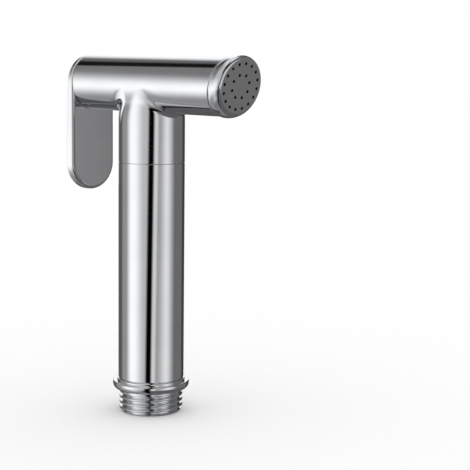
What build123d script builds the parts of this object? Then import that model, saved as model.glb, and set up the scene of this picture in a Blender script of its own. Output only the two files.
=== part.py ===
from build123d import *
import math
import os

# A handheld bidet sprayer, in millimetres. The origin is the centre of the hose end's face,
# +Z runs up the handle, and the spray leaves towards +X, so the trigger plate is on the -X side.
# Every thread is drawn plain, at its crest.

# Hose end, with a G 1/2 male thread
thread_radius = 20.955 / 2
thread_length = 7.4
thread_chamfer = 0.9
flange_step = 1.3
flange_thickness = 2.9
flange_edge = 0.35
flange_rounding = 1.9
collar_step = 0.5
collar_height = 0.8
collar_rounding = 0.35

# Handle tube and the two spigots that screw into it
handle_radius = 10.8
handle_length = 71.5
handle_wall = 2.1
socket_shoulder = 0.6
handle_edge = 0.35
seam_edge = 0.15
nipple_wall = 2.15
spigot_length = 11.5
spigot_edge = 0.5

# Head, a T with a horizontal tube on a neck as wide as the handle
neck_height = 25.4
head_radius = 9.4
head_rear = 29.2
head_front = 35.4
head_edge = 0.35
neck_straight = 12.4
neck_taper = 8.0
neck_inset = 0.7
neck_blend_steps = 12
neck_fillet = 1.5
neck_spigot_wall = 2.25
chamber_wall = 2.2

# Spray cap, which looks down by its tilt
cap_tilt = 12.0
cap_overhang = 0.4
cap_thickness = 4.65
cap_face_thickness = 1.2
cap_rounding = 1.5
cap_edge = 0.3
cap_spigot_inset = 1.1
cap_spigot_wall = 2.1
cap_water_gap = 0.6
spray_hole_radius = 0.5
outer_hole_count = 16
outer_hole_inset = 1.25
outer_hole_start = 16.7
inner_hole_count = 8
inner_hole_circle = 3.67
inner_hole_start = 19.1

# Trigger plate, which rocks on the lower edge of the head's rear end
plate_inset = 0.25
plate_drop = 27.4
plate_top_thickness = 2.2
plate_bottom_thickness = 3.3
plate_crown = 0.75
plate_outer_rounding = 0.7
plate_inner_rounding = 1.2
plate_gap = 0.3
ear_thickness = 1.6
ear_radius = 2.0
ear_clearance = 0.25
pin_reach = 3.0
pin_radius = 0.9
pin_clearance = 0.02
trigger_stroke = 15.0

# Valve, on the head's axis
seat_place = 9.0
seat_lip = 0.6
seat_lip_width = 0.9
seat_length = 3.6
seat_gap = 0.05
seal_flow_gap = 2.2
seal_overlap = 1.6
seal_thickness = 2.0
carrier_thickness = 2.0
stem_radius = 2.0
stem_shoulder = 0.5
stem_tail_gap = 0.2
stem_edge = 0.3
stop_step = 0.9
stop_thickness = 0.8
stop_clearance = 0.1
screw_radius = 1.25
screw_length = 5.5
screw_end_gap = 0.3
screw_head_inset = 0.5
screw_head_height = 1.3
screw_head_rounding = 0.5
screw_slot_width = 0.6
screw_slot_depth = 0.6
backing_clearance = 0.6
backing_thickness = 0.5
gland_nut_gap = 0.45
gland_length = 10.0
gland_edge = 0.4
gland_slot_width = 2.0
gland_slot_depth = 1.5
gland_ring_place = 2.0
stem_ring_place = 2.6
stem_ring_spacing = 3.6
nut_across_flats = 5.5
nut_thickness = 1.4
eye_boss_wall = 0.6
eye_boss_length = 3.0
eye_thickness = 2.2
eye_height = 5.4
eye_rounding = 0.8
eye_wall = 0.95
ear_boss_gap = 0.65
slot_play = 0.15
slot_spare_height = 0.25

# Return spring
spring_clearance = 0.45
spring_wire_radius = 0.4
spring_turns = 7

# Seals and running fits
ring_section = 0.75
cap_ring_section = 0.5
stem_ring_section = 0.6
groove_side_play = 0.15
seal_touch = 0.02
fit_clearance = 0.05

# Radii that follow from the handle's and the head's
collar_radius = handle_radius + collar_step
flange_radius = max(collar_radius, thread_radius) + flange_step
socket_radius = handle_radius - handle_wall
spigot_radius = socket_radius - fit_clearance
handle_bore_radius = socket_radius - socket_shoulder
inlet_bore_radius = spigot_radius - nipple_wall
waterway_radius = spigot_radius - neck_spigot_wall
chamber_radius = head_radius - chamber_wall
cap_radius = head_radius + cap_overhang
cap_spigot_radius = head_radius - cap_spigot_inset
cap_spigot_length = cap_thickness - cap_face_thickness - cap_water_gap
cap_bore_radius = cap_spigot_radius + fit_clearance
outlet_radius = cap_spigot_radius - cap_spigot_wall
outer_hole_circle = cap_bore_radius - outer_hole_inset
seal_radius = chamber_radius - seal_flow_gap
seat_orifice_radius = seal_radius - seal_overlap
backing_radius = seat_orifice_radius - backing_clearance
screw_head_radius = backing_radius - screw_head_inset
stem_tail_radius = stem_radius - stem_shoulder
stop_radius = stem_radius + stop_step
spring_radius = stop_radius + spring_clearance + spring_wire_radius
eye_boss_radius = stem_tail_radius + eye_boss_wall
flange_round = min(flange_rounding, 0.9 * (flange_radius - thread_radius))
plate_radius = head_radius - plate_inset

# Heights up the handle
handle_bottom = thread_length + flange_thickness + collar_height
seam_height = handle_bottom + handle_length
head_height = seam_height + neck_height
head_axis = Axis((0, 0, head_height), (1, 0, 0))
head_section = Plane(origin=(0, 0, head_height), x_dir=(1, 0, 0), z_dir=(0, -1, 0))

# The head's front end and the cap are cut by two tilted planes. The spray's own axis crosses the
# head's halfway between them, so the spigot is centred in the cap as well as it can be.
tilt = math.radians(cap_tilt)
spray_way = Vector(math.cos(tilt), 0, -math.sin(tilt))
cap_length = cap_thickness / math.cos(tilt)
seam_plane = Plane(origin=(head_front, 0, head_height), x_dir=(0, 1, 0), z_dir=spray_way)
face_plane = Plane(origin=(head_front + cap_length, 0, head_height), x_dir=(0, 1, 0), z_dir=spray_way)
spray_start = Vector(head_front + cap_length / 2, 0, head_height) - spray_way * (cap_thickness / 2)
spigot_plane = Plane(origin=spray_start, x_dir=(0, 1, 0), z_dir=spray_way)
spray_axis = Axis(spray_start, spray_way)
spray_section = Plane(origin=spray_start, x_dir=spray_way, z_dir=(0, -1, 0))

# The trigger's link pin, and how far it draws the stem back and rises at full stroke
stroke = math.radians(trigger_stroke)
pin_place = -head_rear + pin_reach
pin_travel = head_radius * math.sin(stroke) + pin_reach * (1 - math.cos(stroke))
pin_rise = pin_reach * math.sin(stroke) - head_radius * (1 - math.cos(stroke))

# Places along the head's axis
seal_front = seat_place - seat_gap
seal_back = seal_front - seal_thickness
carrier_back = seal_back - carrier_thickness
seat_front = seat_place + seat_length
slot_half_width = pin_radius + slot_play
eye_back = pin_place - slot_half_width - eye_wall
boss_back = pin_place + ear_radius + ear_boss_gap
eye_front = boss_back + eye_boss_length
stem_back = boss_back + stem_tail_gap
nut_front = eye_front + nut_thickness
gland_back = nut_front + gland_nut_gap
gland_front = gland_back + gland_length
stop_place = gland_front + pin_travel + stop_clearance
groove_depth = 2 * ring_section + 2 * seal_touch - fit_clearance
groove_width = 2 * (ring_section + groove_side_play)
cap_groove_depth = 2 * cap_ring_section + 2 * seal_touch - fit_clearance
cap_groove_width = 2 * (cap_ring_section + groove_side_play)

os.makedirs("parts", exist_ok=True)


def across(place):
    """The plane square to the head's axis at a place along it, facing the spray."""
    return Plane(origin=(place, 0, head_height), x_dir=(0, 1, 0), z_dir=(1, 0, 0))


# Inlet nipple: turned brass, with the hose thread, a flange and a spigot for the handle
nipple_top = handle_bottom + spigot_length
nipple_groove = handle_bottom + spigot_length / 2
with BuildPart() as inlet_nipple:
    with BuildSketch(Plane.XZ):
        with BuildLine():
            Polyline(
                (inlet_bore_radius, 0),
                (thread_radius - thread_chamfer, 0),
                (thread_radius, thread_chamfer),
                (thread_radius, thread_length),
                (flange_radius, thread_length),
                (flange_radius, thread_length + flange_thickness),
                (collar_radius, thread_length + flange_thickness),
                (collar_radius, handle_bottom),
                (spigot_radius, handle_bottom),
                (spigot_radius, nipple_groove - groove_width / 2),
                (spigot_radius - groove_depth, nipple_groove - groove_width / 2),
                (spigot_radius - groove_depth, nipple_groove + groove_width / 2),
                (spigot_radius, nipple_groove + groove_width / 2),
                (spigot_radius, nipple_top - spigot_edge),
                (spigot_radius - spigot_edge, nipple_top),
                (inlet_bore_radius, nipple_top),
                close=True,
            )
        make_face()
    revolve(axis=Axis.Z)
    rims = inlet_nipple.edges().filter_by(GeomType.CIRCLE)
    rims = rims.filter_by(lambda e: abs(e.radius - flange_radius) < 0.01).sort_by(Axis.Z)
    fillet(rims[0], flange_round)
    fillet(rims[-1], flange_edge)
    collar_edges = inlet_nipple.edges().filter_by(GeomType.CIRCLE)
    collar_edges = collar_edges.filter_by(lambda e: abs(e.radius - collar_radius) < 0.01)
    fillet(collar_edges.sort_by(Axis.Z)[-1], collar_rounding)
inlet_nipple.part.label = "inlet_nipple"
export_step(inlet_nipple.part, "parts/inlet_nipple.step")


# Handle tube: drawn brass tube, counterbored at both ends for the spigots
socket_depth = spigot_length + fit_clearance
with BuildPart() as handle_tube:
    with BuildSketch(Plane.XZ):
        with BuildLine():
            Polyline(
                (socket_radius, handle_bottom),
                (handle_radius - handle_edge, handle_bottom),
                (handle_radius, handle_bottom + handle_edge),
                (handle_radius, seam_height - seam_edge),
                (handle_radius - seam_edge, seam_height),
                (socket_radius, seam_height),
                (socket_radius, seam_height - socket_depth),
                (handle_bore_radius, seam_height - socket_depth),
                (handle_bore_radius, handle_bottom + socket_depth),
                (socket_radius, handle_bottom + socket_depth),
                close=True,
            )
        make_face()
    revolve(axis=Axis.Z)
handle_tube.part.label = "handle_tube"
export_step(handle_tube.part, "parts/handle_tube.step")


# Neck: round at the handle, then narrowing sideways until it is just within the head's width
blend_height = neck_height - neck_straight
neck_top = min(handle_radius, head_radius - neck_inset)
with BuildPart() as neck:
    with BuildSketch(Plane.XY.offset(seam_height)):
        Circle(handle_radius)
    extrude(amount=neck_straight)
    chamfer(neck.edges().group_by(Axis.Z)[0], seam_edge)
with BuildPart() as neck_blend:
    for step in range(neck_blend_steps + 1):
        rise = blend_height * step / neck_blend_steps
        share = min(rise / neck_taper, 1)
        ease = share * share * (3 - 2 * share)
        with BuildSketch(Plane.XY.offset(seam_height + neck_straight + rise)):
            Ellipse(handle_radius, handle_radius + ease * (neck_top - handle_radius))
    loft()


# Head: one casting, with the head tube, the neck, a spigot below and a tilted one in front
neck_groove = seam_height - spigot_length / 2
cap_groove = cap_spigot_length / 2
with BuildPart() as head_body:
    with BuildSketch(across(-head_rear)):
        Circle(head_radius)
    extrude(amount=head_rear + head_front + head_radius)
    with BuildSketch(seam_plane):
        Rectangle(4 * head_radius, 4 * head_radius)
    extrude(amount=4 * head_radius, mode=Mode.SUBTRACT)
    chamfer(head_body.faces().sort_by(Axis.X)[0].edges(), head_edge)
    chamfer(head_body.faces().sort_by(Axis.X)[-1].edges(), head_edge)
    tube_edges = head_body.edges()
    add(neck_blend.part)
    crease = (head_body.edges() - tube_edges).sort_by(Axis.Z)[-1]
    fillet(crease, neck_fillet)
    add(neck.part)
    with BuildSketch(Plane.XZ):
        with BuildLine():
            Polyline(
                (0, seam_height),
                (spigot_radius, seam_height),
                (spigot_radius, neck_groove + groove_width / 2),
                (spigot_radius - groove_depth, neck_groove + groove_width / 2),
                (spigot_radius - groove_depth, neck_groove - groove_width / 2),
                (spigot_radius, neck_groove - groove_width / 2),
                (spigot_radius, seam_height - spigot_length + spigot_edge),
                (spigot_radius - spigot_edge, seam_height - spigot_length),
                (0, seam_height - spigot_length),
                close=True,
            )
        make_face()
    revolve(axis=Axis.Z)
    with BuildSketch(spray_section):
        with BuildLine():
            Polyline(
                (0, 0),
                (0, cap_spigot_radius),
                (cap_groove - cap_groove_width / 2, cap_spigot_radius),
                (cap_groove - cap_groove_width / 2, cap_spigot_radius - cap_groove_depth),
                (cap_groove + cap_groove_width / 2, cap_spigot_radius - cap_groove_depth),
                (cap_groove + cap_groove_width / 2, cap_spigot_radius),
                (cap_spigot_length, cap_spigot_radius),
                (cap_spigot_length, 0),
                close=True,
            )
        make_face()
    revolve(axis=spray_axis)
    with BuildSketch(Plane.XY.offset(seam_height - spigot_length)):
        Circle(waterway_radius)
    extrude(amount=spigot_length + neck_height, mode=Mode.SUBTRACT)
    with BuildSketch(across(-head_rear)):
        Circle(chamber_radius)
    extrude(amount=head_rear + seat_front, mode=Mode.SUBTRACT)
    with BuildSketch(across(-head_rear)):
        Circle(outlet_radius)
    extrude(amount=head_rear + head_front + head_radius, mode=Mode.SUBTRACT)
head_body.part.label = "head_body"
export_step(head_body.part, "parts/head_body.step")


# Sealing rings in the grooves of the two spigots: moulded rubber
ring_circle = socket_radius - seal_touch - ring_section
with BuildPart() as neck_o_ring:
    with BuildSketch(Plane.XZ):
        with Locations((ring_circle, neck_groove)):
            Circle(ring_section)
    revolve(axis=Axis.Z)
neck_o_ring.part.label = "neck_o_ring"
export_step(neck_o_ring.part, "parts/neck_o_ring.step")

with BuildPart() as nipple_o_ring:
    with BuildSketch(Plane.XZ):
        with Locations((ring_circle, nipple_groove)):
            Circle(ring_section)
    revolve(axis=Axis.Z)
nipple_o_ring.part.label = "nipple_o_ring"
export_step(nipple_o_ring.part, "parts/nipple_o_ring.step")


# Spray cap: a cup pushed over the tilted spigot, its outside in line with the head tube and cut
# off by the same tilt, with two rings of holes
with BuildPart() as spray_cap:
    with BuildSketch(across(head_front - cap_radius)):
        Circle(cap_radius)
    extrude(amount=2 * cap_radius + cap_length)
    with BuildSketch(seam_plane):
        Rectangle(4 * cap_radius, 4 * cap_radius)
    extrude(amount=cap_thickness, mode=Mode.INTERSECT)
    chamfer(spray_cap.faces().sort_by(spray_axis)[0].edges(), cap_edge)
    fillet(spray_cap.faces().sort_by(spray_axis)[-1].edges(), cap_rounding)
    with BuildSketch(spigot_plane):
        Circle(cap_bore_radius)
    extrude(amount=cap_thickness - cap_face_thickness, mode=Mode.SUBTRACT)
    with BuildSketch(face_plane):
        with PolarLocations(outer_hole_circle, outer_hole_count, outer_hole_start):
            Circle(spray_hole_radius)
        with PolarLocations(inner_hole_circle, inner_hole_count, inner_hole_start):
            Circle(spray_hole_radius)
    extrude(amount=-cap_face_thickness, mode=Mode.SUBTRACT)
spray_cap.part.label = "spray_cap"
export_step(spray_cap.part, "parts/spray_cap.step")

with BuildPart() as cap_o_ring:
    with BuildSketch(spray_section):
        with Locations((cap_groove, cap_bore_radius - seal_touch - cap_ring_section)):
            Circle(cap_ring_section)
    revolve(axis=spray_axis)
cap_o_ring.part.label = "cap_o_ring"
export_step(cap_o_ring.part, "parts/cap_o_ring.step")


# Trigger plate: a cast blade with a round head and foot, a crowned back and two ears inside
plate_face = -head_rear - plate_gap
plate_foot = head_height - plate_drop
plate_middle = (plate_top_thickness + plate_bottom_thickness) / 2 + plate_crown
ear_inner = eye_thickness / 2 + ear_clearance
with BuildPart() as trigger_plate:
    with BuildSketch(Plane.XZ.offset(-plate_radius)):
        with BuildLine():
            Line(
                (plate_face, plate_foot - plate_radius),
                (plate_face, head_height + plate_radius),
            )
            Line(
                (plate_face, head_height + plate_radius),
                (plate_face - plate_top_thickness, head_height + plate_radius),
            )
            ThreePointArc(
                (plate_face - plate_top_thickness, head_height + plate_radius),
                (plate_face - plate_middle, (head_height + plate_foot) / 2),
                (plate_face - plate_bottom_thickness, plate_foot - plate_radius),
            )
            Line(
                (plate_face - plate_bottom_thickness, plate_foot - plate_radius),
                (plate_face, plate_foot - plate_radius),
            )
        make_face()
    extrude(amount=2 * plate_radius)
    with BuildSketch(Plane.YZ.offset(plate_face)):
        with Locations((0, (head_height + plate_foot) / 2)):
            SlotCenterToCenter(plate_drop, 2 * plate_radius, rotation=90)
    extrude(amount=-2 * plate_middle, mode=Mode.INTERSECT)
    fillet(trigger_plate.faces().sort_by(Axis.X)[-1].edges(), plate_inner_rounding)
    fillet(trigger_plate.faces().sort_by(Axis.X)[0].edges(), plate_outer_rounding)
    for side in (1, -1):
        with BuildSketch(Plane.XZ.offset(side * ear_inner)):
            with BuildLine():
                Polyline(
                    (pin_place, head_height - ear_radius),
                    (plate_face, head_height - ear_radius),
                    (plate_face, head_height + ear_radius),
                    (pin_place, head_height + ear_radius),
                )
                ThreePointArc(
                    (pin_place, head_height + ear_radius),
                    (pin_place + ear_radius, head_height),
                    (pin_place, head_height - ear_radius),
                )
            make_face()
            with Locations((pin_place, head_height)):
                Circle(pin_radius + pin_clearance, mode=Mode.SUBTRACT)
        extrude(amount=side * ear_thickness)
trigger_plate.part.label = "trigger_plate"
export_step(trigger_plate.part, "parts/trigger_plate.step")

pin_length = 2 * (ear_inner + ear_thickness)
with BuildPart() as link_pin:
    with BuildSketch(Plane.XZ.offset(-pin_length / 2)):
        with Locations((pin_place, head_height)):
            Circle(pin_radius)
    extrude(amount=pin_length)
link_pin.part.label = "link_pin"
export_step(link_pin.part, "parts/link_pin.step")


# Valve seat: a turned ring against the shoulder of the head's bore, its lip facing the inlet
seat_radius = chamber_radius - fit_clearance
seat_groove = (seat_place + seat_lip + seat_front) / 2
with BuildPart() as valve_seat:
    with BuildSketch(head_section):
        with BuildLine():
            Polyline(
                (seat_place, seat_orifice_radius),
                (seat_place, seat_orifice_radius + seat_lip_width),
                (seat_place + seat_lip, seat_orifice_radius + seat_lip_width),
                (seat_place + seat_lip, seat_radius),
                (seat_groove - groove_width / 2, seat_radius),
                (seat_groove - groove_width / 2, seat_radius - groove_depth),
                (seat_groove + groove_width / 2, seat_radius - groove_depth),
                (seat_groove + groove_width / 2, seat_radius),
                (seat_front, seat_radius),
                (seat_front, seat_orifice_radius),
                close=True,
            )
        make_face()
    revolve(axis=head_axis)
valve_seat.part.label = "valve_seat"
export_step(valve_seat.part, "parts/valve_seat.step")

with BuildPart() as valve_seat_o_ring:
    with BuildSketch(head_section):
        with Locations((seat_groove, chamber_radius - seal_touch - ring_section)):
            Circle(ring_section)
    revolve(axis=head_axis)
valve_seat_o_ring.part.label = "valve_seat_o_ring"
export_step(valve_seat_o_ring.part, "parts/valve_seat_o_ring.step")


# Valve stem: a turned rod with the seal's carrier in front, a stop collar and a threaded tail
screw_back = seal_front + backing_thickness - screw_length
screw_hole_radius = screw_radius + seal_touch
with BuildPart() as valve_stem:
    with BuildSketch(head_section):
        with BuildLine():
            Polyline(
                (stem_back, 0),
                (stem_back, stem_tail_radius - stem_edge),
                (stem_back + stem_edge, stem_tail_radius),
                (nut_front, stem_tail_radius),
                (nut_front, stem_radius),
                (stop_place, stem_radius),
                (stop_place, stop_radius),
                (stop_place + stop_thickness, stop_radius),
                (stop_place + stop_thickness + stop_radius - stem_radius, stem_radius),
                (carrier_back, stem_radius),
                (carrier_back, seal_radius),
                (seal_back, seal_radius),
                (seal_back, screw_hole_radius),
                (screw_back - screw_end_gap, screw_hole_radius),
                (screw_back - screw_end_gap, 0),
                close=True,
            )
        make_face()
    revolve(axis=head_axis)
valve_stem.part.label = "valve_stem"
export_step(valve_stem.part, "parts/valve_stem.step")


# Valve seal: a rubber disc, clamped to the stem's carrier by a backing washer and a screw
with BuildPart() as seal_washer:
    with BuildSketch(across(seal_back)):
        Circle(seal_radius)
        Circle(screw_radius + fit_clearance, mode=Mode.SUBTRACT)
    extrude(amount=seal_thickness)
seal_washer.part.label = "seal_washer"
export_step(seal_washer.part, "parts/seal_washer.step")

with BuildPart() as backing_washer:
    with BuildSketch(across(seal_front)):
        Circle(backing_radius)
        Circle(screw_radius + fit_clearance, mode=Mode.SUBTRACT)
    extrude(amount=backing_thickness)
backing_washer.part.label = "backing_washer"
export_step(backing_washer.part, "parts/backing_washer.step")

with BuildPart() as washer_screw:
    with BuildSketch(across(screw_back)):
        Circle(screw_radius)
    extrude(amount=screw_length)
    with BuildSketch(across(screw_back + screw_length)):
        Circle(screw_head_radius)
    extrude(amount=screw_head_height)
    fillet(washer_screw.edges().sort_by(Axis.X)[-1], screw_head_rounding)
    with BuildSketch(across(screw_back + screw_length + screw_head_height)):
        Rectangle(2 * screw_head_radius, screw_slot_width)
    extrude(amount=-screw_slot_depth, mode=Mode.SUBTRACT)
washer_screw.part.label = "washer_screw"
export_step(washer_screw.part, "parts/washer_screw.step")


# Gland bush: a turned plug, slotted for its spanner, that guides and seals the stem
gland_bore_radius = stem_radius + fit_clearance
gland_groove = gland_front - gland_ring_place
stem_groove_depth = 2 * stem_ring_section
stem_groove_width = 2 * (stem_ring_section + groove_side_play)
stem_groove_front = gland_front - stem_ring_place
stem_groove_rear = stem_groove_front - stem_ring_spacing
with BuildPart() as gland_bush:
    with BuildSketch(head_section):
        with BuildLine():
            Polyline(
                (gland_back, gland_bore_radius),
                (gland_back, seat_radius - gland_edge),
                (gland_back + gland_edge, seat_radius),
                (gland_groove - groove_width / 2, seat_radius),
                (gland_groove - groove_width / 2, seat_radius - groove_depth),
                (gland_groove + groove_width / 2, seat_radius - groove_depth),
                (gland_groove + groove_width / 2, seat_radius),
                (gland_front, seat_radius),
                (gland_front, gland_bore_radius),
                close=True,
            )
        make_face()
        for groove in (stem_groove_front, stem_groove_rear):
            with Locations((groove, gland_bore_radius)):
                Rectangle(
                    stem_groove_width,
                    stem_groove_depth,
                    align=(Align.CENTER, Align.MIN),
                    mode=Mode.SUBTRACT,
                )
    revolve(axis=head_axis)
    with BuildSketch(across(gland_back)):
        Rectangle(2 * chamber_radius, gland_slot_width)
    extrude(amount=gland_slot_depth, mode=Mode.SUBTRACT)
gland_bush.part.label = "gland_bush"
export_step(gland_bush.part, "parts/gland_bush.step")

with BuildPart() as gland_o_ring:
    with BuildSketch(head_section):
        with Locations((gland_groove, chamber_radius - seal_touch - ring_section)):
            Circle(ring_section)
    revolve(axis=head_axis)
gland_o_ring.part.label = "gland_o_ring"
export_step(gland_o_ring.part, "parts/gland_o_ring.step")

stem_ring_circle = gland_bore_radius + stem_ring_section - seal_touch
with BuildPart() as stem_o_ring_front:
    with BuildSketch(head_section):
        with Locations((stem_groove_front, stem_ring_circle)):
            Circle(stem_ring_section)
    revolve(axis=head_axis)
stem_o_ring_front.part.label = "stem_o_ring_front"
export_step(stem_o_ring_front.part, "parts/stem_o_ring_front.step")

with BuildPart() as stem_o_ring_rear:
    with BuildSketch(head_section):
        with Locations((stem_groove_rear, stem_ring_circle)):
            Circle(stem_ring_section)
    revolve(axis=head_axis)
stem_o_ring_rear.part.label = "stem_o_ring_rear"
export_step(stem_o_ring_rear.part, "parts/stem_o_ring_rear.step")


# Stem eye: a slotted tongue screwed on the stem's tail and held by a lock nut; the trigger's
# link pin draws it back, and rises in its slot as the trigger rocks
tail_hole_radius = stem_tail_radius + seal_touch
slot_low = -pin_radius - slot_play
slot_high = pin_radius + pin_rise + slot_spare_height
with BuildPart() as stem_eye:
    with BuildSketch(Plane.XZ.offset(-eye_thickness / 2)):
        with Locations(((eye_back + boss_back) / 2, head_height)):
            Rectangle(boss_back - eye_back, eye_height)
        fillet(vertices().group_by(Axis.X)[0], eye_rounding)
        with Locations((pin_place, head_height + (slot_low + slot_high) / 2)):
            SlotOverall(
                slot_high - slot_low,
                2 * slot_half_width,
                rotation=90,
                mode=Mode.SUBTRACT,
            )
    extrude(amount=eye_thickness)
    with BuildSketch(across(boss_back)):
        Circle(eye_boss_radius)
    extrude(amount=eye_boss_length)
    with BuildSketch(across(stem_back)):
        Circle(tail_hole_radius)
    extrude(amount=eye_front - stem_back, mode=Mode.SUBTRACT)
stem_eye.part.label = "stem_eye"
export_step(stem_eye.part, "parts/stem_eye.step")

with BuildPart() as lock_nut:
    with BuildSketch(across(eye_front)):
        RegularPolygon(nut_across_flats / 2, 6, major_radius=False)
        Circle(tail_hole_radius, mode=Mode.SUBTRACT)
    extrude(amount=nut_thickness)
lock_nut.part.label = "lock_nut"
export_step(lock_nut.part, "parts/lock_nut.step")


# Return spring: a wire coil between the gland bush and the seal's carrier
coil_start = gland_front + spring_wire_radius
coil_length = carrier_back - spring_wire_radius - coil_start
with BuildPart() as return_spring:
    with BuildLine() as coil:
        Helix(
            pitch=coil_length / spring_turns,
            height=coil_length,
            radius=spring_radius,
            center=(coil_start, 0, head_height),
            direction=(1, 0, 0),
        )
    with BuildSketch(Plane(origin=coil.wire() @ 0, z_dir=coil.wire() % 0)):
        Circle(spring_wire_radius)
    sweep(is_frenet=True)
return_spring.part.label = "return_spring"
export_step(return_spring.part, "parts/return_spring.step")
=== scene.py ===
import math

import bpy
import numpy as np
from mathutils import Matrix


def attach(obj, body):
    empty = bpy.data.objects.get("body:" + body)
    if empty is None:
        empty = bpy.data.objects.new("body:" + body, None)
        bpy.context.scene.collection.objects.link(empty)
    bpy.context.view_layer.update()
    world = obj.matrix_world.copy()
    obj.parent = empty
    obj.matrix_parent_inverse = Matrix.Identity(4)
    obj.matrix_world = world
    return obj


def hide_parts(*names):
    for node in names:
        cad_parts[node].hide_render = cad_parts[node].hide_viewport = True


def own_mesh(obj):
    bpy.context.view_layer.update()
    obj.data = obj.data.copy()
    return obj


# A handheld bidet sprayer of chromed brass. It stands on its hose end at the origin, +Z runs up the
# handle, and the spray leaves towards +X. Lengths are in metres.
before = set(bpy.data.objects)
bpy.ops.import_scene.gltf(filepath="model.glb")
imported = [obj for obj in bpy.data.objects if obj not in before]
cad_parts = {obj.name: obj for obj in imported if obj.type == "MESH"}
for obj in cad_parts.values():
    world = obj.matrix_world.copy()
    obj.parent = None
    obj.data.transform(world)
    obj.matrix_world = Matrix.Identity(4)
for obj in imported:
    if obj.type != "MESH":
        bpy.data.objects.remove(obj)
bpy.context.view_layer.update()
mm = 0.001


# Inlet nipple: turned from brass bar, chrome plated, and screwed up into the handle by its spigot.
# It has the male hose thread, a real helix with 14 turns to the inch and the rounded crests and
# roots of a pipe thread, then a flange with a rounded edge and a low collar.
class Shade:
    """A value in a node tree. Arithmetic on it adds Math nodes, and node() adds any other node."""

    def __init__(self, tree, socket=None):
        self.tree, self.socket = tree, socket

    def node(self, kind, settings, values, out=0):
        """Adds a node: settings are set first, then its sockets get their values or links."""
        made = self.tree.nodes.new(kind)
        for name, setting in settings.items():
            setattr(made, name, setting)
        for name, value in values.items():
            if isinstance(value, Shade):
                self.tree.links.new(value.socket, made.inputs[name])
            else:
                made.inputs[name].default_value = value
        return Shade(self.tree, made.outputs[out] if made.outputs else None)

    def math(self, operation, first, second=0.0):
        return self.node("ShaderNodeMath", {"operation": operation}, {0: first, 1: second})

    def __add__(self, other):
        return self.math("ADD", self, other)

    def __sub__(self, other):
        return self.math("SUBTRACT", self, other)

    def __rsub__(self, other):
        return self.math("SUBTRACT", other, self)

    def __mul__(self, other):
        return self.math("MULTIPLY", self, other)

    __radd__, __rmul__ = __add__, __mul__

    def step(self, low, high):
        """0 up to low, 1 from high on, and an S-curve between them."""
        return self.node(
            "ShaderNodeMapRange",
            {"interpolation_type": "SMOOTHSTEP"},
            {"Value": self, "From Min": low, "From Max": high},
        )

    def between(self, first, second, share):
        """A colour that turns from the first into the second as share goes from 0 to 1."""
        return self.node(
            "ShaderNodeMix", {"data_type": "RGBA"}, {0: share, 6: first, 7: second}, out=2
        )

    def parts(self, vector):
        """The three numbers of a vector."""
        split = self.node("ShaderNodeSeparateXYZ", {}, {0: vector}).socket.node
        return [Shade(self.tree, part) for part in split.outputs]


def new_finish(name):
    """An empty material, its nodes' helper and the object's own coordinates."""
    material = bpy.data.materials.new(name)
    material.use_nodes = True
    material.node_tree.nodes.clear()
    tree = Shade(material.node_tree)
    return material, tree, tree.node("ShaderNodeTexCoord", {}, {}, out="Object")


def noise(tree, place, size, detail=2.0, stretch=(1, 1, 1)):
    """Soft noise, from 0 to 1, with features of a size in metres, drawn out by stretch."""
    scaled = tree.node(
        "ShaderNodeMapping", {}, {"Vector": place, "Scale": [1 / (size * s) for s in stretch]}
    )
    return tree.node("ShaderNodeTexNoise", {}, {"Vector": scaled, "Scale": 1.0, "Detail": detail})


def metal(name, pale, deep, polish, grain, stretch, relief):
    """A metal: cloudy colour between two tones, a roughness from polish[0] to polish[1] in softer
    clouds, and a fine grain of a size in metres, drawn out by stretch, with a relief in metres."""
    material, tree, place = new_finish(name)
    cloud_size, handling_size = 11 * mm, 23 * mm
    clouds = noise(tree, place, cloud_size).step(0.3, 0.7)
    handling = noise(tree, place, handling_size).step(0.35, 0.75)
    marks = noise(tree, place, grain, stretch=stretch)
    surface = tree.node(
        "ShaderNodeBsdfPrincipled",
        {},
        {
            "Metallic": 1.0,
            "Base Color": tree.between(pale, deep, clouds),
            "Roughness": polish[0] + (polish[1] - polish[0]) * handling,
            "Normal": tree.node("ShaderNodeBump", {}, {"Height": marks, "Distance": relief}),
        },
    )
    tree.node("ShaderNodeOutputMaterial", {}, {"Surface": surface})
    return material


def unit(vectors):
    """Vectors divided by their lengths."""
    return vectors / np.linalg.norm(vectors, axis=-1, keepdims=True)


def rounded(corners):
    """Points and outward normals along an anticlockwise path. A corner is its two places and a
    radius. A radius of 0 gives the corner twice, once with the normal of each side. Any other gives
    an arc that touches both sides, whose normals run from its centre through its points."""
    places, normals, arc_step = [], [], math.radians(9)
    for number, (across, up, radius) in enumerate(corners):
        here = np.array([across, up])
        ways = []
        for first, second in ((number - 1, number), (number, number + 1)):
            if first >= 0 and second < len(corners):
                ways.append(unit(np.subtract(corners[second][:2], corners[first][:2])))
        sides = [np.array([way[1], -way[0]]) for way in ways]
        if radius == 0 or len(sides) == 1:
            places += [here] * len(sides)
            normals += sides
            continue
        bend = math.atan2(ways[0][0] * ways[1][1] - ways[0][1] * ways[1][0], ways[0] @ ways[1])
        start = here - ways[0] * radius * math.tan(abs(bend) / 2)
        middle = start - sides[0] * radius * math.copysign(1, bend)
        count = 2 + int(abs(bend) / arc_step)
        turn = math.atan2(sides[0][1], sides[0][0]) + np.linspace(0, bend, count)
        facing = np.stack([np.cos(turn), np.sin(turn)], 1)
        places += list(middle + facing * radius * math.copysign(1, bend))
        normals += list(facing)
    return np.array(places), np.array(normals)


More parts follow.
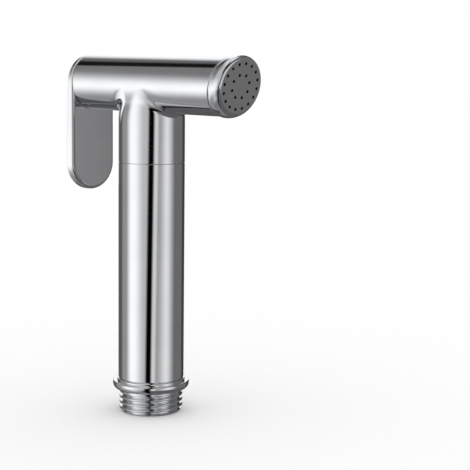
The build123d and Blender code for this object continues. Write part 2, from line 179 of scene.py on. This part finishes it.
def revolved(path, steps=256, origin=(0, 0, 0), axes=np.eye(3)):
    """A path's points and normals, given by radius and place along an axis, carried round it. The
    radius times the cosine and sine of the turn counts along the first two axes, and the place
    along the third. The points start from the origin."""
    turn = np.linspace(0, 2 * np.pi, steps + 1)
    circle = np.cos(turn)[:, None] * axes[0] + np.sin(turn)[:, None] * axes[1]
    points, normals = (part[:, :1, None] * circle + part[:, 1:, None] * axes[2] for part in path)
    return points + np.asarray(origin), normals


def round_points(radius, turn, height):
    """Points round the handle's axis: the radius times the cosine and sine of the turn, and the
    height."""
    places = radius * np.cos(turn), radius * np.sin(turn), height
    return np.stack(np.broadcast_arrays(*places), axis=-1)


def facing_of(points):
    """Normals of a grid that closes on itself along its rows: the cross product of its two
    directions, each taken between the neighbours on both sides."""
    ring = np.concatenate([points[:, -2:-1], points, points[:, 1:2]], axis=1)
    return unit(np.cross(ring[:, 2:] - ring[:, :-2], np.gradient(points, axis=0)))


def even(points, normal):
    """A grid with the same normal, or the same row of normals, all over it."""
    return points, np.broadcast_to(normal, points.shape)


def make_piece(name, grids, finish, body, replaced):
    """One mesh from grids of points and normals. Each cell is a face, points within a micrometre of
    each other are joined, a face that a pole squeezes loses its doubled corner, and a face that
    runs against its normals is turned round. The normals given stay as its corners' normals."""
    points, normals, faces, count = [], [], [], 0
    for places, facing in grids:
        rows, columns = places.shape[:2]
        index = count + np.arange(rows * columns).reshape(rows, columns)
        cells = np.stack([index[:-1, :-1], index[:-1, 1:], index[1:, 1:], index[1:, :-1]], axis=2)
        points.append(places.reshape(-1, 3))
        normals.append(facing.reshape(-1, 3))
        faces.append(cells.reshape(-1, 4))
        count += rows * columns
    points, normals, faces = (np.concatenate(part) for part in (points, normals, faces))
    micrometre, off_centre = 1e-6, 0.137
    cells = np.round(points / micrometre + off_centre).astype(np.int64)
    _, first, joined = np.unique(cells, axis=0, return_index=True, return_inverse=True)
    places, corners = points[first], joined.reshape(-1)[faces]
    diagonals = places[corners[:, 2:]] - places[corners[:, :2]]
    against = (np.cross(diagonals[:, 0], diagonals[:, 1]) * normals[faces].sum(1)).sum(1) < 0
    corners[against], faces[against] = corners[against, ::-1], faces[against, ::-1]
    kept = corners != np.roll(corners, 1, axis=1)
    whole = kept.sum(1) > 2
    corners, faces, kept = corners[whole], faces[whole], kept[whole]
    sizes = kept.sum(1)
    mesh = bpy.data.meshes.new(name)
    mesh.vertices.add(len(places))
    mesh.vertices.foreach_set("co", places.ravel())
    mesh.loops.add(int(sizes.sum()))
    mesh.loops.foreach_set("vertex_index", corners[kept].astype(np.int32))
    mesh.polygons.add(len(sizes))
    mesh.polygons.foreach_set("loop_start", (np.cumsum(sizes) - sizes).astype(np.int32))
    mesh.update(calc_edges=True)
    mesh.normals_split_custom_set(normals[faces[kept]].tolist())
    mesh.materials.append(finish)
    piece = bpy.data.objects.new(name, mesh)
    bpy.context.scene.collection.objects.link(piece)
    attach(piece, body)
    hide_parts(replaced)
    return piece


thread_pitch, thread_crest, thread_top = 25.4 / 14 * mm, 20.955 / 2 * mm, 6.9 * mm
thread_depth, thread_bevel, thread_rows = 0.640327 * thread_pitch, 0.9 * mm, 104
crest_power, runout, relief_radius = 1.5, 1.0 * mm, 10.2 * mm
inlet_radius, spigot_radius, ring_seat = 6.5 * mm, 8.65 * mm, 7.16 * mm
flange_radius, flange_foot, flange_top = 12.6 * mm, 7.4 * mm, 10.3 * mm
collar_radius, collar_top = 11.3 * mm, 11.1 * mm
seat_low, seat_high, spigot_top = 15.95 * mm, 17.75 * mm, 22.6 * mm
root_round, flange_round, flange_edge = 0.3 * mm, 1.95 * mm, 0.45 * mm
collar_edge, spigot_edge, bore_mouth = 0.3 * mm, 0.5 * mm, 0.3 * mm


def thread_radius(turn, height):
    """The crest's radius less the depth times a power of half of one minus the cosine of the phase,
    which is the height in pitches less the turn, so the ridge climbs a pitch in a turn. The power
    widens the crests. The ridge stays inside the bevel at the end, and runs out into the relief
    under the flange."""
    phase = 2 * np.pi * height / thread_pitch - turn
    cut = thread_crest - thread_depth * (0.5 - 0.5 * np.cos(phase)) ** crest_power
    cut = np.minimum(cut, thread_crest - np.maximum(thread_bevel - height, 0))
    share = np.clip((height - thread_top + runout) / runout, 0, 1)
    return cut + (relief_radius - cut) * share * share * (3 - 2 * share)


full_turn = np.linspace(0, 2 * np.pi, 257)
height = np.linspace(0, thread_top, thread_rows + 1)[:, None]
thread = round_points(thread_radius(full_turn, height), full_turn, height)
share = np.linspace(0, 1, 4)[:, None]
end_radius = inlet_radius + share * (thread_radius(full_turn, 0) - inlet_radius)
nipple_path = rounded([
    (relief_radius, thread_top, 0),
    (relief_radius, flange_foot, root_round),
    (flange_radius, flange_foot, flange_round),
    (flange_radius, flange_top, flange_edge),
    (collar_radius, flange_top, 0),
    (collar_radius, collar_top, collar_edge),
    (spigot_radius, collar_top, 0),
    (spigot_radius, seat_low, 0),
    (ring_seat, seat_low, 0),
    (ring_seat, seat_high, 0),
    (spigot_radius, seat_high, 0),
    (spigot_radius, spigot_top, spigot_edge),
    (inlet_radius, spigot_top, bore_mouth),
    (inlet_radius, 0, 0),
])
chrome_pale, chrome_deep = (0.88, 0.885, 0.90, 1), (0.84, 0.85, 0.87, 1)
turned_chrome = metal(
    "turned_chrome", chrome_pale, chrome_deep, polish=(0.045, 0.075), grain=0.5 * mm,
    stretch=(30, 30, 0.6), relief=0.0006 * mm,
)
make_piece(
    "hose_nipple",
    [
        (thread, facing_of(thread)),
        even(round_points(end_radius, full_turn, 0), [0.0, 0.0, -1.0]),
        revolved(nipple_path),
    ],
    turned_chrome,
    "sprayer",
    "inlet_nipple",
)


# Sealing rings of the two spigots: moulded nitrile rubber with a dull, slightly blotched skin. They
# are rolled into their grooves before the handle is screwed on.
def dress(finish, *names):
    """Gives a finish to solids that keep their own shape."""
    for name in names:
        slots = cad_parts[name].data.materials
        slots.clear()
        slots.append(finish)


rubber_dark, rubber_pale = (0.018, 0.018, 0.019, 1), (0.035, 0.034, 0.033, 1)
bloom_size, skin_grain, skin_relief = 1.6 * mm, 0.12 * mm, 0.004 * mm
rubber, tree, place = new_finish("nitrile_rubber")
bloom = noise(tree, place, bloom_size, detail=4.0).step(0.4, 0.8)
skin = noise(tree, place, skin_grain)
surface = tree.node(
    "ShaderNodeBsdfPrincipled",
    {},
    {
        "Base Color": tree.between(rubber_dark, rubber_pale, bloom),
        "Roughness": 0.42 + 0.25 * bloom,
        "Normal": tree.node("ShaderNodeBump", {}, {"Height": skin, "Distance": skin_relief}),
    },
)
tree.node("ShaderNodeOutputMaterial", {}, {"Surface": surface})
dress(rubber, "neck_o_ring", "nipple_o_ring")


# Handle: drawn brass tube, polished lengthways and chrome plated. It is counterbored at both ends,
# and stands on the nipple's collar. Its plating is the smoothest of all the pieces.
drawn_chrome = metal(
    "drawn_chrome", chrome_pale, chrome_deep, polish=(0.035, 0.06), grain=3.0 * mm,
    stretch=(1, 1, 9), relief=0.0012 * mm,
)
dress(drawn_chrome, "handle_tube")


# Head: a brass casting, a tube on a neck that narrows into it, with a spigot below and a tilted one
# in front. A small fillet joins neck and tube in front and behind, and fades out up their sides. It
# is ground, polished and chrome plated, which leaves the faint waves of a casting.
head_height, head_radius, head_rear, head_front = 108 * mm, 9.4 * mm, -29.2 * mm, 35.4 * mm
neck_radius, neck_low, neck_edge, neck_top = 10.8 * mm, 82.6 * mm, 0.15 * mm, 94.5 * mm
waist, crown_fall, narrow_from, narrow_to = 9.2 * mm, 150, 96 * mm, 106.5 * mm
low_blend, high_blend, blend_from, blend_to = 2.0 * mm, 0.3 * mm, 103 * mm, 109.9 * mm
joint_half, joint_sides, joint_ends, joint_rows = 15 * mm, 34, 60, 72
chamber_radius, chamber_front, outlet_radius, outlet_start = 7.2 * mm, 12.6 * mm, 6.2 * mm, 30 * mm
rear_mouth, rear_edge = 0.2 * mm, 0.4 * mm
waterway_radius, waterway_top = 6.4 * mm, 100 * mm
mouth_half, mouth_sides, mouth_ends, mouth_rows = 9 * mm, 26, 76, 8
foot_low, foot_seat_low, foot_seat_high = 71.1 * mm, 75.95 * mm, 77.75 * mm
tilt = math.radians(12)
spray_way = np.array([math.cos(tilt), 0, -math.sin(tilt)])
spray_up = np.array([math.sin(tilt), 0, math.cos(tilt)])
spray_start = np.array([35.503, 0, 108.4834]) * mm
cap_seat, cap_ring_seat, spigot_end = 8.3 * mm, 7.31 * mm, 2.85 * mm
cap_ring_low, cap_ring_high = 0.775 * mm, 2.075 * mm
head_centre = np.array([0, 0, head_height])
head_axes = np.array([[0, 0, -1], [0, 1, 0], [1, 0, 0]])
head_steps = 120
head_step = 2 * np.pi / head_steps


def soft_step(value, low, high):
    """0 up to low, 1 from high on, and three squares less two cubes of the share between them."""
    share = np.clip((value - low) / (high - low), 0, 1)
    return share * share * (3 - 2 * share)


def head_shape(point):
    """Roughly how far a point is outside the head: the smooth least of its distances from the tube
    and the neck. The neck is an ellipse, whose half-width narrows to a waist, and falls with the
    square of the height above the tube's middle. Where the two distances differ by less than the
    blend, the least is lowered by the blend times a share times one minus it. The share, 0 on the
    neck and 1 on the tube, is returned too."""
    x, y, z = point[..., 0], point[..., 1], point[..., 2]
    tube = np.hypot(y, z - head_height) - head_radius
    width = neck_radius + (waist - neck_radius) * soft_step(z, narrow_from, narrow_to)
    width = width - crown_fall * np.clip(z - head_height, 0, None) ** 2
    neck = (np.hypot(x / neck_radius, y / width) - 1) * width
    blend = low_blend + (high_blend - low_blend) * soft_step(z, blend_from, blend_to)
    share = np.clip(0.5 + 0.5 * (neck - tube) / blend, 0, 1)
    return neck + (tube - neck) * share - blend * share * (1 - share), share


def tube_points(radius, across, turn):
    """Points of a tube on the head's axis: a place along it, the radius times the sine of a turn to
    the side, and the radius times its cosine down from the axis."""
    places = across, radius * np.sin(turn), head_height - radius * np.cos(turn)
    return np.stack(np.broadcast_arrays(*places), axis=-1)


def tube_patch(radius, across, turn, side):
    """A grid on a tube, with normals away from its axis for side 1 and towards it for side -1."""
    points = tube_points(radius, across, turn)
    return points, side * (points - points * [1, 0, 0] - head_centre) / radius


def window_walk(half, sides, ends):
    """A closed walk round a window in a tube: its places and turns, from in front at the bottom, up
    one side, back along the tube, round underneath and forward again."""
    edge = sides * head_step
    rising, back = np.linspace(0, edge, sides + 1), np.linspace(half, -half, ends + 1)
    under = np.linspace(edge, -edge, 2 * sides + 1)
    across = np.concatenate([
        np.full(sides, half), back[:-1], np.full(2 * sides, -half), -back[:-1],
        np.full(sides + 1, half),
    ])
    turn = np.concatenate([
        rising[:-1], np.full(ends, edge), under[:-1], np.full(ends, -edge), rising - edge,
    ])
    return across, turn


# The joint runs from a ring on the neck to a walk round a window in the tube. Each point is on a
# line from the head's heart, where halving the line again and again finds head_shape's zero. The
# normals turn from the neck's level ones into the tube's with the share, so reflections run
# straight up the neck.
heart, search_reach, halvings = np.array([0, 0, 104 * mm]), 40 * mm, 40
ring = round_points(neck_radius, full_turn, neck_top)
window = tube_points(head_radius, *window_walk(joint_half, joint_sides, joint_ends))
share = np.linspace(0, 1, joint_rows + 1)[:, None, None]
way = unit((1 - share) * unit(ring - heart) + share * unit(window - heart))
near, far = np.zeros(way.shape[:2]), np.full(way.shape[:2], search_reach)
for _ in range(halvings):
    middle = (near + far) / 2
    inside = head_shape(heart + way * middle[..., None])[0] < 0
    near, far = np.where(inside, middle, near), np.where(inside, far, middle)
joint = heart + way * near[..., None]
joint[0], joint[-1] = ring, window
share = head_shape(joint)[1][..., None]
level, upright = joint * [1, 1, 0], joint * [0, 1, 1] - head_centre
joint_normals = unit((1 - share) * unit(level) + share * unit(upright))
roof = tube_patch(
    head_radius,
    np.linspace(joint_half, -joint_half, joint_ends + 1)[:, None],
    np.arange(joint_sides, head_steps - joint_sides + 1)[None, :] * head_step,
    1,
)

# The chamber inside is bored from behind. The waterway from the handle opens into its underside.
mouth_across, mouth_turn = window_walk(mouth_half, mouth_sides, mouth_ends)
hole_across = waterway_radius * np.cos(full_turn)
hole_turn = np.arcsin(waterway_radius / chamber_radius * np.sin(full_turn))
share = np.linspace(0, 1, mouth_rows + 1)[:, None]
mouth = tube_patch(
    chamber_radius,
    hole_across + share * (mouth_across - hole_across),
    hole_turn + share * (mouth_turn - hole_turn),
    -1,
)
ceiling = tube_patch(
    chamber_radius,
    np.linspace(mouth_half, -mouth_half, mouth_ends + 1)[:, None],
    np.arange(mouth_sides, head_steps - mouth_sides + 1)[None, :] * head_step,
    -1,
)
hole_edge = tube_points(chamber_radius, hole_across, hole_turn)
waterway = np.stack([hole_edge * [1, 1, 0] + [0, 0, waterway_top], hole_edge])
rear_path = rounded([
    (chamber_radius, -mouth_half, 0),
    (chamber_radius, head_rear, rear_mouth),
    (head_radius, head_rear, rear_edge),
    (head_radius, -joint_half, 0),
])
bore_path = rounded([
    (outlet_radius, outlet_start, 0),
    (outlet_radius, chamber_front, 0),
    (chamber_radius, chamber_front, 0),
    (chamber_radius, mouth_half, 0),
])
foot_path = rounded([
    (waterway_radius, waterway_top, 0),
    (waterway_radius, foot_low, bore_mouth),
    (spigot_radius, foot_low, spigot_edge),
    (spigot_radius, foot_seat_low, 0),
    (ring_seat, foot_seat_low, 0),
    (ring_seat, foot_seat_high, 0),
    (spigot_radius, foot_seat_high, 0),
    (spigot_radius, neck_low, 0),
    (neck_radius, neck_low, neck_edge),
    (neck_radius, neck_top, 0),
])
spigot_path = rounded([
    (cap_seat, 0, 0),
    (cap_seat, cap_ring_low, 0),
    (cap_ring_seat, cap_ring_low, 0),
    (cap_ring_seat, cap_ring_high, 0),
    (cap_seat, cap_ring_high, 0),
    (cap_seat, spigot_end, 0),
])
spigot_axes = np.array([-spray_up, [0, 1, 0], spray_way])
spigot = revolved(spigot_path, head_steps, spray_start, spigot_axes)

# The tube's front end is cut square to the spray, with a rounded edge, round the tilted spigot.
rim_turn = np.linspace(0, 2 * np.pi, head_steps + 1)
rim_edge, rim_rows = 0.35 * mm, 8
bend = np.linspace(0, np.pi / 2, rim_rows + 1)[:, None]
radius = head_radius - rim_edge * (1 - np.cos(bend))
rim_across = head_front - radius * np.cos(rim_turn) * math.tan(tilt) - rim_edge * (1 - np.sin(bend))
rim = tube_points(radius, rim_across, rim_turn)
radial = tube_points(1.0, 0, rim_turn) - head_centre
rim_normals = unit(radial * np.cos(bend)[..., None] + spray_way * np.sin(bend)[..., None])
barrel = np.stack([tube_points(head_radius, joint_half, rim_turn), rim[0]])
shoulder = np.stack([rim[-1], spigot[0][0]])
outlet_ring = tube_points(outlet_radius, outlet_start, rim_turn)
outlet_edge = outlet_ring.copy()
gap = outlet_edge[:, 2] - spray_start[2]
outlet_edge[:, 0] = spray_start[0] + (spigot_end + gap * math.sin(tilt)) / math.cos(tilt)
cast_chrome = metal(
    "cast_chrome", chrome_pale, chrome_deep, polish=(0.045, 0.08), grain=6.0 * mm,
    stretch=(1.6, 1, 1), relief=0.003 * mm,
)
make_piece(
    "sprayer_head",
    [
        (joint, joint_normals),
        roof,
        mouth,
        ceiling,
        even(waterway, -hole_edge * [1, 1, 0] / waterway_radius),
        revolved(rear_path, head_steps, head_centre, head_axes),
        revolved(bore_path, head_steps, head_centre, head_axes),
        revolved(foot_path),
        spigot,
        (rim, rim_normals),
        even(barrel, radial),
        even(shoulder, spray_way),
        even(np.stack([spigot[0][-1], outlet_edge]), spray_way),
        even(np.stack([outlet_ring, outlet_edge]), -radial),
    ],
    cast_chrome,
    "sprayer",
    "head_body",
)


# Valve, inside the head: a brass seat, and a brass stem with a rubber disc that a steel screw and
# washer clamp. A coil of steel wire shuts it, against a brass bush that guides and seals the stem.
# The stem's tail has a slotted brass tongue, locked by a nut, for the trigger's pin.
turned_brass = metal(
    "turned_brass", (0.66, 0.46, 0.19, 1), (0.54, 0.36, 0.14, 1), polish=(0.2, 0.32),
    grain=0.25 * mm, stretch=(0.8, 40, 40), relief=0.002 * mm,
)
steel = metal(
    "drawn_steel", (0.55, 0.55, 0.56, 1), (0.46, 0.46, 0.48, 1), polish=(0.2, 0.34),
    grain=0.2 * mm, stretch=(1, 20, 20), relief=0.0015 * mm,
)
dress(turned_brass, "valve_seat", "valve_stem", "gland_bush", "stem_eye", "lock_nut")
dress(rubber, "valve_seat_o_ring", "seal_washer", "gland_o_ring")
dress(rubber, "stem_o_ring_front", "stem_o_ring_rear")
dress(steel, "backing_washer", "washer_screw")

# The coil's wire is a circle carried along a helix, which is closely wound near its two ends. The
# real coil is squeezed as the stem slides, by the stem's travel and a hair more. That squeeze is
# given, but the coil is drawn at one length without it.
coil_start, coil_end, coil_radius, coil_squeeze = -8.7 * mm, 4.95 * mm, 3.75 * mm, 2.56 * mm
coil_turns, coil_steps, end_pitch, opens_from, opens_to = 7, 48, 0.8 * mm, 0.7, 1.3
wire_radius, wire_sides = 0.4 * mm, 16
turn = np.linspace(0, coil_turns, coil_turns * coil_steps + 1)
wound_length = coil_end - coil_start - 2 * wire_radius
share = soft_step(turn, opens_from, opens_to) * soft_step(coil_turns - turn, opens_from, opens_to)
more_pitch = (wound_length - coil_turns * end_pitch) / share[1:].sum() * coil_steps
rise = np.append(0, np.cumsum(end_pitch + more_pitch * share[1:]) / coil_steps)
angle = 2 * np.pi * turn
outward = np.stack([0 * angle, np.cos(angle), np.sin(angle)], axis=1)
helix = head_centre + coil_radius * outward
helix[:, 0] += coil_start + wire_radius + rise
onward = unit(np.gradient(helix, axis=0))
across = np.cross(outward, onward)
around = np.linspace(0, 2 * np.pi, wire_sides + 1)[None, :, None]
wire_normals = np.cos(around) * outward[:, None] + np.sin(around) * across[:, None]
wire = helix[:, None] + wire_radius * wire_normals
coil_grids = [(wire, wire_normals)]
for end, way in ((0, -1), (-1, 1)):
    coil_grids.append(even(np.stack([wire[end], helix[end] + 0 * wire[end]]), way * onward[end]))
coil = make_piece("wire_coil", coil_grids, steel, "sprayer", "return_spring")
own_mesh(coil)


# Spray cap: turned brass, chrome plated, pushed over the tilted spigot with a rubber ring inside.
# Its outside swells out from the head's tube and rounds over to a flat face, which has a ring of
# sixteen drilled holes round one of eight.
cap_length, cap_wall, cap_bore, cap_steps = 4.65 * mm, 1.2 * mm, 8.35 * mm, 96
swell_core, swell_out, swell_place, swell_rows = 8.2 * mm, 1.6 * mm, 1.7 * mm, 32
swell_back, swell_ahead = 2.19 * mm, 2.95 * mm
hole_radius, outer_holes, inner_holes = 0.5 * mm, (16, 16.7, 7.1 * mm), (8, 19.1, 3.67 * mm)
outer_ring, inner_ring, middle_disc, sector_rows, hole_rows = 6.0 * mm, 5.2 * mm, 2.2 * mm, 6, 3
bore_drop = -cap_length / 2 * math.tan(tilt)
face_centre = np.array([head_front + cap_length / math.cos(tilt), 0, head_height])
outer_angle = np.radians(outer_holes[1] + np.linspace(0, 360, cap_steps + 1))
inner_angle = np.radians(inner_holes[1] + np.linspace(0, 360, cap_steps + 1))


def on_face(side, up, place=cap_length):
    """Points given by how far they are to the side and up from the middle of the cap's face, and by
    their distance from the seam."""
    ways = np.array([[0, 1, 0], spray_up, spray_way])
    return face_centre + np.stack([side, up, place - cap_length + 0 * side], axis=-1) @ ways


def disc_edge(radius, angle):
    """A circle round a face's middle: the radius times the cosine and sine of the angle."""
    return radius * np.cos(angle), radius * np.sin(angle)


def face_edge(angle):
    """The edge of the flat face: a circle round the head's axis, which the tilt draws out upwards
    by one over its cosine."""
    return swell_core * np.cos(angle), swell_core * np.sin(angle) / math.cos(tilt)


def bore_edge(angle):
    """The edge of the cap's bore: a circle round the spigot's axis, below the face's middle."""
    return cap_bore * np.cos(angle), bore_drop + cap_bore * np.sin(angle)


def pierced(outline, inner, holes, place, way):
    """A ring of a flat face with a hole in the middle of each sector, from an outline, given as a
    function of the angle, in to a circle. The holes are given by their number, the first one's
    angle and their circle. Each sector's grid runs from its hole to its edges, along the lines that
    leave the hole's middle towards points spaced evenly on the edges."""
    count, first, circle = holes
    half, grids = math.pi / count, []
    arc, down = np.linspace(-half, half, cap_steps // count + 1), np.linspace(0, 1, sector_rows + 1)
    lean = np.concatenate([
        arc[:-1], np.full(sector_rows, half), -arc[:-1], np.full(sector_rows + 1, -half),
    ])
    depth = np.concatenate([0 * arc[:-1], down[:-1], 0 * arc[:-1] + 1, down[::-1]])[:, None]
    share = np.linspace(0, 1, hole_rows + 1)[:, None, None]
    for middle in math.radians(first) + 2 * half * np.arange(count):
        outer = np.stack(outline(middle + lean), axis=1)
        near = np.stack(disc_edge(inner, middle + lean), axis=1)
        centre = circle * np.array([math.cos(middle), math.sin(middle)])
        spread = near * (1 - depth) * swell_core / inner + near * depth
        hole = centre + hole_radius * unit(spread - centre)
        flat = hole + share * (outer + (near - outer) * depth - hole)
        grids.append(even(on_face(flat[..., 0], flat[..., 1], place), way * spray_way))
        if way > 0:
            wall = np.stack([on_face(*hole.T), on_face(*hole.T, place=cap_length - cap_wall)])
            grids.append(even(wall, (on_face(*centre) - on_face(*hole.T)) / hole_radius))
    return grids


def flat_ring(outer, inner, place, way):
    """A ring of a flat face, on straight lines from one curve to another."""
    share = np.linspace(0, 1, 3)[:, None]
    side, up = (first + share * (last - first) for first, last in zip(outer, inner))
    return even(on_face(side, up, place), way * spray_way)


def cap_ring(radius, place, angle):
    """Points of the cap's outside, round the head's axis: their place is counted from the seam,
    which leans back by the height above the axis times the tangent of the tilt."""
    turn = angle + np.pi / 2
    across = head_front + place / math.cos(tilt) - radius * np.cos(turn) * math.tan(tilt)
    return tube_points(radius, across, turn)


outer_edge, inner_edge = disc_edge(outer_ring, outer_angle), disc_edge(inner_ring, inner_angle)
disc, middle = disc_edge(middle_disc, inner_angle), disc_edge(0, inner_angle)
cap_grids = []
for outline, place, way in ((face_edge, cap_length, 1), (bore_edge, cap_length - cap_wall, -1)):
    cap_grids += pierced(outline, outer_ring, outer_holes, place, way)
    cap_grids += pierced(
        lambda angle: disc_edge(inner_ring, angle), middle_disc, inner_holes, place, way
    )
    cap_grids.append(flat_ring(outer_edge, inner_edge, place, way))
    cap_grids.append(flat_ring(disc, middle, place, way))
bend = np.linspace(-math.asin(swell_place / swell_back), math.pi / 2, swell_rows + 1)[:, None]
reach = np.where(bend < 0, swell_back, swell_ahead)
swell_radius = swell_core + swell_out * np.cos(bend)
swell = cap_ring(swell_radius, swell_place + reach * np.sin(bend), outer_angle)
out_share, way_share = np.cos(bend) * reach, np.sin(bend) * swell_out
radial = tube_points(1.0, 0, outer_angle + np.pi / 2) - head_centre
swell_normals = unit(radial * out_share[..., None] + spray_way * way_share[..., None])
bore_low, bore_high = (
    on_face(*bore_edge(outer_angle), place=place) for place in (0, cap_length - cap_wall)
)
bore_axis = on_face(np.zeros(1), np.full(1, bore_drop), 0)
cap_grids += [
    (swell, swell_normals),
    even(np.stack([bore_low, bore_high]), (bore_axis - bore_low) / cap_bore),
    even(np.stack([bore_low, swell[0]]), -spray_way),
]
cap_chrome = metal(
    "cap_chrome", chrome_pale, chrome_deep, polish=(0.05, 0.085), grain=4.0 * mm,
    stretch=(1, 1, 1), relief=0.0015 * mm,
)
make_piece("shower_cap", cap_grids, cap_chrome, "sprayer", "spray_cap")
dress(rubber, "cap_o_ring")


# Trigger plate: a zinc casting, chrome plated, with two ears inside for a steel pin. It rocks on
# the lower edge of the head's rear end and draws the valve's stem.
plate_chrome = metal(
    "plate_chrome", chrome_pale, chrome_deep, polish=(0.045, 0.085), grain=5.0 * mm,
    stretch=(1, 1, 2), relief=0.003 * mm,
)
dress(plate_chrome, "trigger_plate")
dress(steel, "link_pin")


# Studio: an even white room lights the object, and the chrome alone sees the grey room below: its
# walls, three softboxes, a black strip ahead and dark shelves overhead. Turn is counted in degrees
# from a line 60 degrees clockwise of +X, and rise from the horizon.
studio = bpy.data.worlds.new("studio")
bpy.context.scene.world = studio
studio.use_nodes = True
studio.node_tree.nodes.clear()
air = Shade(studio.node_tree)
ahead = math.radians(-60)
aim_x, aim_y, aim_z = air.parts(air.node("ShaderNodeTexCoord", {}, {}, out="Generated"))
along = aim_x * math.cos(ahead) + aim_y * math.sin(ahead)
aside = aim_y * math.cos(ahead) - aim_x * math.sin(ahead)
turn = air.math("ARCTAN2", aside, along) * math.degrees(1)
rise = air.math("ARCSINE", aim_z) * math.degrees(1)


def grey(level):
    """The linear grey that shows as a level from 0 to 255, by the screen's curve: a twelfth part or
    so of the lowest values, and a power of 2.4 above them."""
    value = level / 255
    value = value / 12.92 if value <= 0.04045 else ((value + 0.055) / 1.055) ** 2.4
    return (value, value, value, 1)


# What stands ahead leans, so that its edges run straight down the handle. Each pair is a grey and
# where it is seen, over the pairs before it.
strip_lean = 15.2 * (rise.step(-20, 4) - 0.5)
lean = turn - strip_lean * turn.step(-50, -10) * (1 - turn.step(40, 80))
left_wall = air.between(grey(137), grey(115), rise.step(16, 34))
left_box = (1 - turn.step(-47, -6)) * rise.step(-38, -10) * (1 - rise.step(-8, 27))
room = grey(156)
for colour, share in (
    (grey(104), turn.step(74, 106)),  # the right wall, as it goes back
    (grey(62), turn.step(146, 156)),  # the far end behind the sprayer
    (grey(222), lean.step(42, 74) * (1 - lean.step(68, 106))),  # the right softbox
    (grey(204), 1 - lean.step(32, 41)),  # the white wall ahead
    (grey(182), 1 - lean.step(-4, 8)),  # and its part left of the strip
    (left_wall, 1 - turn.step(-80, -50)),
    (grey(254), left_box),
    (grey(80), 1 - turn.step(-140, -118)),  # the corner behind on the left
    (grey(250), (1 - turn.step(-152, -130)) * rise.step(-6, 4)),  # the rear softbox
    (grey(20), turn.step(-130, -116) * (1 - turn.step(-106, -100)) * rise.step(30, 36)),  # a flag
    (grey(60), turn.step(-20, 10) * (1 - turn.step(90, 130)) * rise.step(18, 32)),  # a dark shelf
    (grey(215), rise.step(52, 75)),  # the ceiling
    (grey(120), 1 - rise.step(-60, -45)),  # the floor
    (grey(90), turn.step(-40, 0) * (1 - rise.step(-29, -18))),  # the table's dark edge
    (grey(2), lean.step(-4, 8) * (1 - lean.step(18, 28))),  # the black strip
):
    room = air.between(room, colour, share)
glossy = air.node("ShaderNodeLightPath", {}, {}, out="Is Glossy Ray")
plain_gain, chrome_gain = 1.0, 1.13
lit = air.node("ShaderNodeBackground", {}, {"Color": (1, 1, 1, 1), "Strength": plain_gain})
seen = air.node("ShaderNodeBackground", {}, {"Color": room, "Strength": chrome_gain})
mixed = air.node("ShaderNodeMixShader", {}, {0: glossy, 1: lit, 2: seen})
air.node("ShaderNodeOutputWorld", {}, {"Surface": mixed})


# Grey card: bent paper, close to the left of the handle, where only the chrome sees it. It fades
# out in front and at its upper edge. Towards the rear it is darker, and that edge is lower.
card_radius, card_low, card_high = 20 * mm, -30 * mm, 104.5 * mm
card_from, card_to, card_columns = -164, -92, 36
card_turn = np.radians(np.linspace(card_from, card_to, card_columns + 1))
card_height = np.array([card_low, card_high])[:, None]
card_mesh = bpy.data.meshes.new("grey_card")
card_mesh.from_pydata(
    round_points(card_radius, card_turn, card_height).reshape(-1, 3).tolist(),
    [],
    [(n, n + 1, n + card_columns + 2, n + card_columns + 1) for n in range(card_columns)],
)
card = bpy.data.objects.new("grey_card", card_mesh)
bpy.context.scene.collection.objects.link(card)
paper, tree, place = new_finish("grey_card")
place_x, place_y, place_z = tree.parts(place)
around = tree.math("ARCTAN2", place_y, -1 * place_x) * math.degrees(1)
shade = tree.between(grey(150), grey(92), around.step(-50, -38))
edge_drop, edge_fade = 6 * mm, 4.5 * mm
lowered = place_z + edge_drop * around.step(-48, -30)
cover = around.step(-84, -62) * (1 - lowered.step(card_high - edge_fade, card_high))
glow = tree.node("ShaderNodeEmission", {}, {"Color": shade})
clear = tree.node("ShaderNodeBsdfTransparent", {}, {})
surface = tree.node("ShaderNodeMixShader", {}, {0: cover, 1: clear, 2: glow})
tree.node("ShaderNodeOutputMaterial", {}, {"Surface": surface})
card_mesh.materials.append(paper)
card.visible_camera = card.visible_diffuse = card.visible_shadow = card.visible_transmission = False


# Floor: white paper, a hair below the hose end. It takes the object's soft shadow, and the chrome
# sees the room instead of it.
floor_side, floor_drop = 3.0, 0.2 * mm
floor_mesh = bpy.data.meshes.new("floor")
floor_mesh.from_pydata(
    [(x, y, -floor_drop) for x in (-floor_side, floor_side) for y in (-floor_side, floor_side)],
    [],
    [(0, 2, 3, 1)],
)
floor = bpy.data.objects.new("floor", floor_mesh)
bpy.context.scene.collection.objects.link(floor)
paper, tree, place = new_finish("white_paper")
surface = tree.node("ShaderNodeBsdfDiffuse", {}, {"Color": (1, 1, 1, 1)})
tree.node("ShaderNodeOutputMaterial", {}, {"Surface": surface})
floor_mesh.materials.append(paper)
floor.visible_glossy = False


# Camera: it looks from in front of the sprayer's right, a little above its head. Its lens is given
# by the length in pixels that was fitted to the photograph's outlines.
camera_turn, camera_reach, camera_height = math.radians(48.02), 442.4 * mm, 118.58 * mm
camera_yaw, camera_pitch, camera_roll = (math.radians(a) for a in (44.466, 7.706, 0.661))
lens_pixels, frame_pixels = 1357.07, 470
lens = bpy.data.cameras.new("camera")
lens.sensor_width = 36.0
lens.lens = lens.sensor_width * lens_pixels / frame_pixels
lens.clip_start, lens.clip_end = 0.01, 20.0
camera = bpy.data.objects.new("camera", lens)
bpy.context.scene.collection.objects.link(camera)
camera.matrix_world = (
    Matrix.Translation(
        (camera_reach * math.sin(camera_turn), -camera_reach * math.cos(camera_turn), camera_height)
    )
    @ Matrix.Rotation(camera_yaw, 4, "Z")
    @ Matrix.Rotation(math.pi / 2 - camera_pitch, 4, "X")
    @ Matrix.Rotation(camera_roll, 4, "Z")
)
bpy.context.scene.camera = camera
bpy.context.scene.view_settings.view_transform = "Standard"
